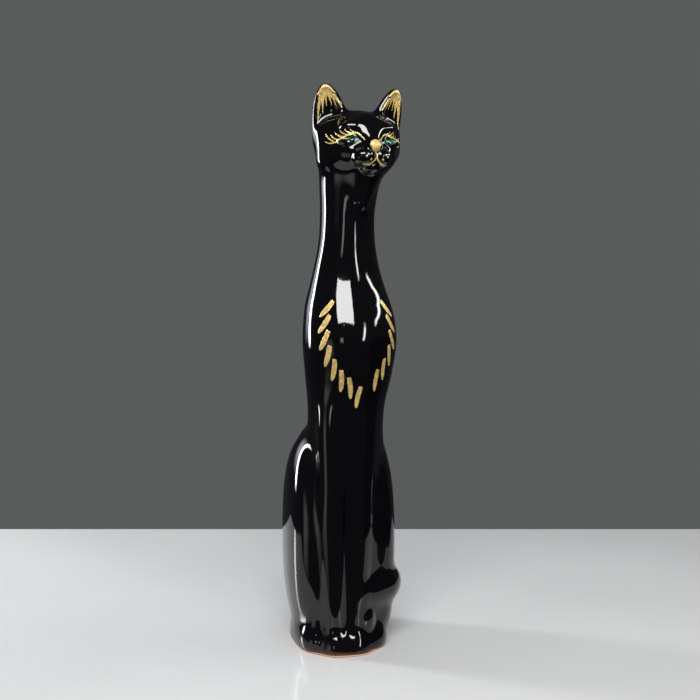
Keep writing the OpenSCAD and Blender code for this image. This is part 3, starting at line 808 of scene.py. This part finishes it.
# ---- the bare foot ----
def bare_foot(clay):
    """The unglazed rim, and the plate inset in it with its vent, which dries to a shallow hollow."""
    step, fine = 0.9, 0.3
    inset = 0.12              # the wiped clay lies this far inside the glaze
    below_glaze = 0.02
    plate_top = 5
    x = np.arange(*GRID_X, step)[:, None, None]
    y = np.arange(*GRID_Y, step)[None, :, None]
    z = np.arange(-0.9, 6.6, fine)[None, None, :]
    wall = outside((x, y, z)) + inset + np.zeros_like(z)
    rim = smooth_max(wall, -z, 1.6)
    rim = np.maximum(rim, z - (GLAZE_LINE - below_glaze))
    plate = smooth_max(wall + WALL - 0.4, z - plate_top, 0.8)
    hollow = ball((x, y, z), (0, VENT_Y / 3, -0.6), (26, 34, 1.9))
    foot = smooth_max(np.minimum(rim, np.maximum(plate, -z)), -hollow, 1.2)
    vent = np.hypot(x, y - VENT_Y) - VENT_R + np.zeros_like(z)
    foot = smooth_max(foot, -vent, 1.5)
    points, quads = quads_of(foot)
    points = relax(points * (step, step, fine) + (x.min(), y.min(), z.min()), quads, 2)
    mesh = bpy.data.meshes.new("clay_base")
    mesh.from_pydata(to_metres(points).tolist(), [], quads.tolist())
    new_piece("clay_base", mesh, ["clay_foot"], "bare_clay", clay)


# ---- materials ----
def blank(name, colour, roughness, **inputs):
    """A new material with its plain values set on its own shader."""
    made = bpy.data.materials.new(name)
    made.use_nodes = True
    made.diffuse_color = (*colour, 1)
    shader = made.node_tree.nodes["Principled BSDF"]
    shader.inputs["Base Color"].default_value = (*colour, 1)
    shader.inputs["Roughness"].default_value = roughness
    for key, value in inputs.items():
        shader.inputs[key.replace("_", " ")].default_value = value
    return made, made.node_tree, shader


def node(tree, kind, inputs=None, **settings):
    """A shader node. An input given as a socket is linked, anything else is its value."""
    made = tree.nodes.new("ShaderNode" + kind)
    for key, value in settings.items():
        setattr(made, key, value)
    for key, value in (inputs or {}).items():
        if isinstance(value, bpy.types.NodeSocket):
            tree.links.new(value, made.inputs[key])
        else:
            made.inputs[key].default_value = value
    return made


def noise(tree, where, scale, detail=3, rough=0.5):
    inputs = {"Vector": where, "Scale": scale, "Detail": detail, "Roughness": rough}
    return node(tree, "TexNoise", inputs).outputs[0]


def object_place(tree):
    return node(tree, "TexCoord").outputs["Object"]


def brush_place(tree):
    """The brush coordinates of a film: along the stroke, across it."""
    return node(tree, "UVMap", uv_map="brush").outputs[0]


def ramp(tree, value, *stops):
    """Colour or grey over a value, as (place, colour) stops. A grey may be given as one number."""
    made = node(tree, "ValToRGB", {"Fac": value})
    spots = made.color_ramp.elements
    while len(spots) < len(stops):
        spots.new(0.5)
    for spot, (at, colour) in zip(spots, stops):
        spot.position = at
        grey = isinstance(colour, (int, float))
        spot.color = (colour, colour, colour, 1) if grey else (*colour, 1)
    return made.outputs[0]


def mix(tree, share, a, b):
    """Colour a where share is nought, b where it is one."""
    made = node(tree, "Mix", data_type="RGBA")
    factor, first, second = made.inputs[0], made.inputs[6], made.inputs[7]
    for socket, value in ((factor, share), (first, a), (second, b)):
        if isinstance(value, bpy.types.NodeSocket):
            tree.links.new(value, socket)
        else:
            socket.default_value = (*value, 1)
    return made.outputs[2]


def maths(tree, kind, *values):
    return node(tree, "Math", dict(enumerate(values)), operation=kind).outputs[0]


def bumps(tree, *layers):
    """Bump layers, each (height, distance in metres, strength), one over another."""
    normal = None
    for height, distance, strength in layers:
        inputs = {"Height": height, "Distance": distance, "Strength": strength}
        if normal is not None:
            inputs["Normal"] = normal
        normal = node(tree, "Bump", inputs).outputs[0]
    return normal


def set_inputs(tree, shader, **sockets):
    for key, socket in sockets.items():
        tree.links.new(socket, shader.inputs[key.replace("_", " ")])


MM = 0.001
BLACK = (0.002, 0.002, 0.0025)


def black_glaze():
    """Black glaze with faint orange peel and pinholes, red-brown at its foot and on worn rims."""
    made, tree, shader = blank("black_glaze", BLACK, 0.05, IOR=1.56)
    place = object_place(tree)
    swell = noise(tree, place, 45, 2)
    drift = noise(tree, place, 90, 3)
    peel = noise(tree, place, 520, 2)
    grain = noise(tree, place, 2600, 2, 0.6)
    cells = node(tree, "TexVoronoi", {"Vector": place, "Scale": 420.0, "Randomness": 1.0})
    pits = ramp(tree, cells.outputs["Distance"], (0.0, 0.0), (0.1, 0.55), (0.17, 1.0))

    thin = node(tree, "Attribute", attribute_name="thin").outputs["Fac"]
    patchy = ramp(tree, noise(tree, place, 700, 4), (0.35, 0.2), (0.7, 1.0))
    worn = maths(tree, "MULTIPLY", thin, patchy)
    colour = mix(tree, worn, BLACK, (0.06, 0.017, 0.007))

    height = node(tree, "SeparateXYZ", {0: place}).outputs["Z"]
    foot_band = 5.2 * MM
    wander = maths(tree, "MULTIPLY", noise(tree, place, 160, 3), 0.55)
    up = maths(tree, "ADD", maths(tree, "DIVIDE", height, foot_band), wander)
    low = ramp(tree, up, (0.35, (0.30, 0.10, 0.035)), (0.60, (0.12, 0.022, 0.007)),
               (0.80, (0.035, 0.007, 0.003)), (1.0, BLACK))
    near_foot = ramp(tree, up, (0.86, 1.0), (1.0, 0.0))
    colour = mix(tree, near_foot, colour, low)

    rough = ramp(tree, drift, (0.3, 0.035), (0.55, 0.05), (0.8, 0.085))
    rough = maths(tree, "ADD", rough, maths(tree, "MULTIPLY", near_foot, 0.2))
    dusty = ramp(tree, grain, (0.55, 0.0), (0.75, 1.0))
    rough = maths(tree, "ADD", rough, maths(tree, "MULTIPLY", dusty, 0.03))
    normal = bumps(tree, (swell, 0.10 * MM, 0.5), (peel, 0.012 * MM, 0.6),
                   (pits, 0.02 * MM, 0.5), (grain, 0.002 * MM, 0.5))
    set_inputs(tree, shader, Base_Color=colour, Roughness=rough, Normal=normal)
    return made


def bare_clay():
    made, tree, shader = blank("bare_clay", (0.55, 0.28, 0.15), 0.85)
    place = object_place(tree)
    tone = mix(tree, noise(tree, place, 70, 4), (0.74, 0.50, 0.33), (0.60, 0.34, 0.19))
    specks = ramp(tree, noise(tree, place, 1900, 2), (0.62, 0.0), (0.72, 1.0))
    tone = mix(tree, specks, tone, (0.20, 0.09, 0.05))
    normal = bumps(tree, (noise(tree, place, 900, 4, 0.7), 0.12 * MM, 0.7),
                   (noise(tree, place, 120, 2), 0.3 * MM, 0.3))
    set_inputs(tree, shader, Base_Color=tone, Normal=normal)
    return made


def gold_lustre():
    """Brushed-on gold: bright where it lies thick, olive in the drawn-out streaks, and a painted highlight of
    near-white yellow in its palest streaks.
    """
    made, tree, shader = blank("gold_lustre", (0.72, 0.48, 0.15), 0.34, Metallic=0.4)
    place = object_place(tree)
    drawn = node(tree, "Mapping", {"Vector": brush_place(tree), "Scale": (1.3, 9.0, 1.0)}).outputs[0]
    streak = noise(tree, drawn, 1.6, 4, 0.6)
    # the streak tone runs from olive through gold to a near-white yellow: that top stop is painted highlight
    body = ramp(tree, streak, (0.30, (0.22, 0.14, 0.03)), (0.43, (0.66, 0.42, 0.10)),
                (0.54, (0.98, 0.72, 0.26)), (0.66, (1.0, 0.92, 0.58)))
    patch = ramp(tree, noise(tree, place, 260, 3), (0.45, 0.0), (0.75, 0.4))
    colour = mix(tree, patch, body, (0.42, 0.25, 0.05))
    rough = ramp(tree, streak, (0.3, 0.46), (0.7, 0.27))
    normal = bumps(tree, (streak, 0.12 * MM, 0.6), (noise(tree, place, 2400, 2), 0.02 * MM, 0.5))
    set_inputs(tree, shader, Base_Color=colour, Roughness=rough, Normal=normal)
    return made


def green_enamel():
    """Green enamel that changes across the eye, from dark green to teal; the pale teal, at the same end of both
    eyes, is painted highlight.
    """
    made, tree, shader = blank("green_enamel", (0.10, 0.35, 0.22), 0.16,
                               Coat_Weight=0.6, Coat_Roughness=0.05)
    place = object_place(tree)
    across = node(tree, "SeparateXYZ", {0: brush_place(tree)}).outputs["X"]
    wander = maths(tree, "MULTIPLY", noise(tree, place, 420, 3), 0.5)
    across = maths(tree, "ADD", across, wander)
    share = maths(tree, "MULTIPLY", maths(tree, "ADD", across, 1.0), 0.5)
    # the last stop, a pale teal at the eye's +x end in both eyes, is painted highlight
    tone = ramp(tree, share, (0.12, (0.008, 0.05, 0.025)), (0.32, (0.004, 0.11, 0.035)),
                (0.6, (0.003, 0.05, 0.02)), (0.84, (0.012, 0.14, 0.08)), (1.0, (0.20, 0.42, 0.36)))
    rings = noise(tree, place, 900, 3)
    tone = mix(tree, ramp(tree, rings, (0.4, 0.0), (0.75, 0.45)), tone, (0.01, 0.07, 0.045))
    set_inputs(tree, shader, Base_Color=tone, Normal=bumps(tree, (rings, 0.02 * MM, 0.4)))
    return made


def enamel(name, light, dark, roughness):
    """A small dab of opaque enamel, a little uneven."""
    made, tree, shader = blank(name, light, roughness, Coat_Weight=0.4, Coat_Roughness=0.06)
    uneven = noise(tree, object_place(tree), 800, 3)
    set_inputs(tree, shader, Base_Color=mix(tree, uneven, light, dark),
               Normal=bumps(tree, (uneven, 0.03 * MM, 0.5)))
    return made


# ---- the figurine ----
brushed_gold = gold_lustre()
cast_body(black_glaze())
bare_foot(bare_clay())
for sign in SIDES:
    ear_gilding(sign, brushed_gold)
    lid_line(sign, brushed_gold)
    eye(sign, green_enamel(),
        enamel("dark_enamel", (0.006, 0.006, 0.008), (0.002, 0.002, 0.003), 0.1),
        enamel("white_enamel", (0.85, 0.86, 0.83), (0.62, 0.66, 0.64), 0.25))
nose(brushed_gold)
mouth(brushed_gold)
whisker_dots(enamel("cream_enamel", (0.62, 0.55, 0.36), (0.40, 0.33, 0.18), 0.35))
garland(brushed_gold)

# ---- table, light and camera: metres and degrees from here on ----
CAMERA_TURN = -12.0
CAMERA_AWAY, CAMERA_ASIDE, CAMERA_UP = 0.7, 0.0098, 0.243
CAMERA_DIP = 2.9
TABLE = dict(wide=0.40, near=0.126, far=0.33, thick=0.03)       # wide, near and far from the cat
TABLE_EDGE = 0.004
LIGHT_AIM = Vector((0, 0, 0.2))


def place_in_scene(name, data):
    made = bpy.data.objects.new(name, data)
    bpy.context.scene.collection.objects.link(made)
    return made


def table():
    """A pale, slightly glossy table top whose far edge is a hand's length behind the cat."""
    made, tree, shader = blank("table_top", (0.60, 0.60, 0.60), 0.16)
    place = object_place(tree)
    tone = mix(tree, noise(tree, place, 4, 3), (0.52, 0.53, 0.53), (0.62, 0.62, 0.62))
    rough = ramp(tree, noise(tree, place, 9, 2), (0.3, 0.12), (0.7, 0.2))
    set_inputs(tree, shader, Base_Color=tone, Roughness=rough)
    bm = bmesh.new()
    bmesh.ops.create_cube(bm, size=1)
    for v in bm.verts:
        v.co = Vector((v.co.x * 2 * TABLE["wide"],
                       TABLE["far"] if v.co.y > 0 else -TABLE["near"],
                       ground - (TABLE["thick"] if v.co.z < 0 else 0)))
    mesh = bpy.data.meshes.new("table_top")
    bm.to_mesh(mesh)
    bm.free()
    mesh.materials.append(made)
    top = place_in_scene("table_top", mesh)
    top.rotation_euler = (0, 0, radians(CAMERA_TURN))
    edge = top.modifiers.new("edge", "BEVEL")
    edge.width, edge.segments = TABLE_EDGE, 3


def black_flag(name, turn, away, wide, tall):
    """A black card standing beside the table: only the glaze's reflections see it."""
    mesh = bpy.data.meshes.new(name)
    mesh.from_pydata([(-wide / 2, -tall / 2, 0), (wide / 2, -tall / 2, 0),
                      (wide / 2, tall / 2, 0), (-wide / 2, tall / 2, 0)], [], [(0, 1, 2, 3)])
    mesh.materials.append(blank("flag_cloth", (0.0, 0.0, 0.0), 1.0)[0])
    a = radians(turn + CAMERA_TURN)
    card = place_in_scene(name, mesh)
    card.rotation_euler = (radians(90), 0, a)
    card.location = (sin(a) * away, -cos(a) * away, tall / 2)
    card.visible_camera = card.visible_diffuse = card.visible_shadow = False


def soft_light(name, turn, up, away, wide, tall, glow, seen=True, roll=0, fade=(0, 0), tint=(1, 1, 1)):
    """An area light aimed at the cat: turn is degrees right of the camera, glow its radiance.

    fade is the share of its width and of its height over which each edge dies away. A light
    that isn't seen doesn't show in the glaze."""
    a = radians(turn + CAMERA_TURN)
    way = Vector((sin(a) * cos(radians(up)), -cos(a) * cos(radians(up)), sin(radians(up))))
    data = bpy.data.lights.new(name, "AREA")
    data.shape = "RECTANGLE"
    data.size, data.size_y = wide, tall
    data.energy = glow * pi * wide * tall
    data.color = tint
    data.use_nodes = True
    if any(fade):
        fade_edges(data.node_tree, fade)
    lamp = place_in_scene(name, data)
    lamp.location = LIGHT_AIM + way * away
    lamp.rotation_mode = "QUATERNION"
    lamp.rotation_quaternion = way.to_track_quat("Z", "Y") @ Quaternion((0, 0, 1), radians(roll))
    lamp.visible_glossy = seen


def fade_edges(tree, fade):
    """Makes a light die away towards its edges."""
    across = node(tree, "NewGeometry").outputs["Parametric"]
    place = node(tree, "SeparateXYZ", {0: across})
    strength = 1.0
    for axis, share in zip("XY", fade):
        from_middle = maths(tree, "ABSOLUTE", maths(tree, "SUBTRACT", place.outputs[axis], 0.5))
        edge = ramp(tree, from_middle, (0.5 - share, 1.0), (0.5, 0.0))
        strength = maths(tree, "MULTIPLY", edge, strength)
    tree.links.new(strength, tree.nodes["Emission"].inputs["Strength"])


table()
black_flag("right_flag", turn=78, away=0.31, wide=0.34, tall=0.26)
# name, turn, up, away, wide, tall, glow
soft_light("left_strip", -110, 13.5, 0.9, 0.15, 0.7, 30, fade=(0.2, 0.17))
soft_light("left_glow", -122, 15, 0.9, 0.44, 0.6, 3.4, fade=(0.45, 0.4), tint=(0.78, 0.86, 1.0))
soft_light("front_box", -6, 41, 1.2, 0.72, 0.36, 16, roll=5)
soft_light("right_strip", 37, 17, 1.1, 0.11, 0.62, 18, roll=-16, fade=(0.3, 0.2))
soft_light("right_band", 96, 31, 1.1, 1.1, 0.09, 18, roll=6, fade=(0.1, 0.3))
soft_light("grey_card", -48, -12, 0.9, 0.42, 0.66, 0.75, fade=(0.3, 0.35))
soft_light("neck_card", -16, 4, 1.2, 0.16, 0.34, 2.6, fade=(0.15, 0.3))
soft_light("overhead", 180, 68, 1.4, 1.4, 1.2, 1.5, seen=False)
soft_light("front_fill", 10, 35, 1.2, 0.8, 0.8, 2.2, seen=False)

# A dim room in the reflections, with a grey backdrop where the camera sees it
DIM, BACKDROP = (0.03, 0.031, 0.034), (0.102, 0.107, 0.107)
world = bpy.data.worlds.new("room")
world.use_nodes = True
tree = world.node_tree
seen_directly = node(tree, "LightPath").outputs["Is Camera Ray"]
tree.links.new(mix(tree, seen_directly, DIM, BACKDROP), tree.nodes["Background"].inputs["Color"])
bpy.context.scene.world = world
bpy.context.scene.view_settings.view_transform = "Standard"

bearing = radians(CAMERA_TURN)
to_right = Vector((cos(bearing), sin(bearing), 0))
to_front = Vector((sin(bearing), -cos(bearing), 0))
lens = bpy.data.cameras.new("camera")
lens.lens, lens.sensor_width = 50, 36
camera = place_in_scene("camera", lens)
camera.location = to_right * CAMERA_ASIDE * SCALE + to_front * CAMERA_AWAY * SCALE
camera.location.z = CAMERA_UP * SCALE
camera.rotation_euler = (radians(90 - CAMERA_DIP), 0, bearing)
bpy.context.scene.camera = camera
